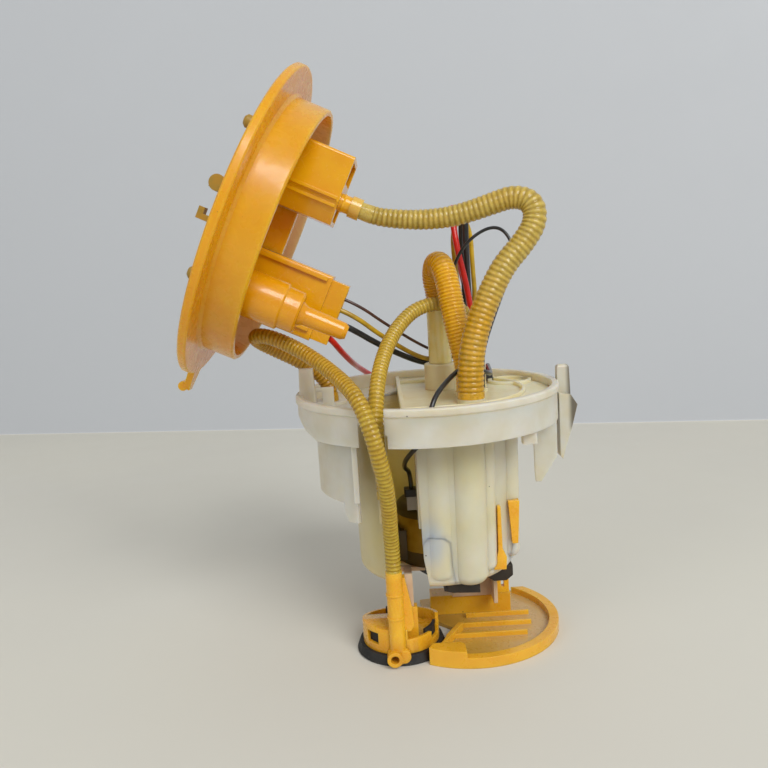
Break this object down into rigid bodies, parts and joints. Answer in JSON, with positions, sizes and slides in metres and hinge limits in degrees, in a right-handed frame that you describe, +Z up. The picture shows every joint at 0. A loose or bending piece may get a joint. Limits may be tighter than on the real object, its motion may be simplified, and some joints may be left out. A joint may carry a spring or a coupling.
{
  "type": "fuel pump module",
  "caption": "In-tank fuel pump module: tank flange on hoses above a swirl pot with pump, jet-pump foot and half-moon floor tray.",
  "frame": {"origin": "on the swirl pot's axis at the plane the floor tray and the jet foot stand on", "axes": "+Z up along the pot axis, -Y towards the jet foot and the open front of the pot, -X towards the tank flange"},
  "size_m": [0.1896, 0.149, 0.2696],
  "materials": {
    "flange_pom": "glossy translucent amber acetal",
    "housing_pom": "glossy orange acetal",
    "peg_pom": "olive-yellow acetal, satin",
    "pot_pom": "milky translucent acetal",
    "cup_pom": "bluish white polymer",
    "cream_pom": "cream polymer",
    "tray_pom": "translucent orange acetal",
    "black_plastic": "black glass-filled polymer",
    "rubber_black": "matt black rubber",
    "hose_nylon": "amber translucent corrugated nylon",
    "cuff_nylon": "pale yellow translucent nylon",
    "pump_steel": "passivated steel, golden",
    "pump_cap_olive": "dark olive polymer",
    "terminal_white": "white polymer",
    "magnet_grey": "ferrite",
    "rotor_copper": "steel and copper windings",
    "carbon": "carbon",
    "contact_brass": "tinned brass",
    "spring_steel": "spring steel",
    "ceramic_card": "printed ceramic",
    "float_black": "closed-cell nitrile",
    "lead_black": "black insulation",
    "lead_red": "red insulation",
    "lead_yellow": "yellow insulation",
    "lead_brown": "brown insulation"
  },
  "bodies": {
    "module": {"baffle_wall": "cream_pom", "black_lead": "lead_black", "branch_hose": "hose_nylon", "branch_nipple": "pot_pom", "brown_lead": "lead_brown", "brushes": "carbon", "check_spring": "spring_steel", "feed_cuff": "housing_pom", "feed_hose": "hose_nylon", "feed_spigot": "peg_pom", "flange_cover": "flange_pom", "floor_tray": "tray_pom", "foot_cup": "housing_pom", "foot_seal": "rubber_black", "guide_rail": "cream_pom", "harness_connector": "housing_pom", "harness_seal": "rubber_black", "jet_hose": "hose_nylon", "jet_riser": "housing_pom", "lead_plug": "black_plastic", "magnets": "magnet_grey", "outer_pins": "contact_brass", "outer_socket": "peg_pom", "outlet_cuff": "cuff_nylon", "outlet_hose": "hose_nylon", "port_block": "housing_pom", "pot_clip": "tray_pom", "pump_can": "pump_steel", "pump_cap": "pump_cap_olive", "pump_inlet": "pump_cap_olive", "pump_isolator": "terminal_white", "pump_lead": "lead_black", "pump_lid": "pot_pom", "pump_terminal": "terminal_white", "red_lead": "lead_red", "relief_valve": "housing_pom", "reservoir_collar": "pot_pom", "return_spigot": "peg_pom", "sender_card": "ceramic_card", "sender_housing": "black_plastic", "sender_lead": "lead_black", "side_bracket": "pot_pom", "strainer_cup": "cup_pom", "strainer_frame": "black_plastic", "supply_loop": "lead_red", "swirl_pot": "pot_pom", "tray_bracket": "tray_pom", "wire_gland": "rubber_black", "yellow_lead": "lead_yellow"},
    "pump_rotor": {"armature": "rotor_copper", "impeller": "black_plastic"},
    "outlet_check": {"check_poppet": "black_plastic"},
    "level_arm": {"sender_arm": "spring_steel", "sender_float": "float_black"},
    "foot_flap": {"foot_valve": "rubber_black"}
  },
  "joints": [
    {"name": "pump_spin", "type": "hinge", "parent": "module", "child": "pump_rotor", "pos_m": [0.0015, 0.001, 0.05], "axis": [0, 0, 1], "continuous": true},
    {"name": "check_lift", "type": "slide", "parent": "module", "child": "outlet_check", "axis": [0, 0, 1], "range_m": [0, 0.0018], "stiffness_N_per_m": 60, "springref_m": -0.004, "deforming": ["check_spring"]},
    {"name": "float_swing", "type": "hinge", "parent": "module", "child": "level_arm", "pos_m": [0.035, 0.0435, 0.084], "axis": [0, 1, 0], "range_deg": [0, 38]},
    {"name": "foot_valve_lift", "type": "slide", "parent": "module", "child": "foot_flap", "axis": [0, 0, 1], "range_m": [0, 0.0012]}
  ]
}
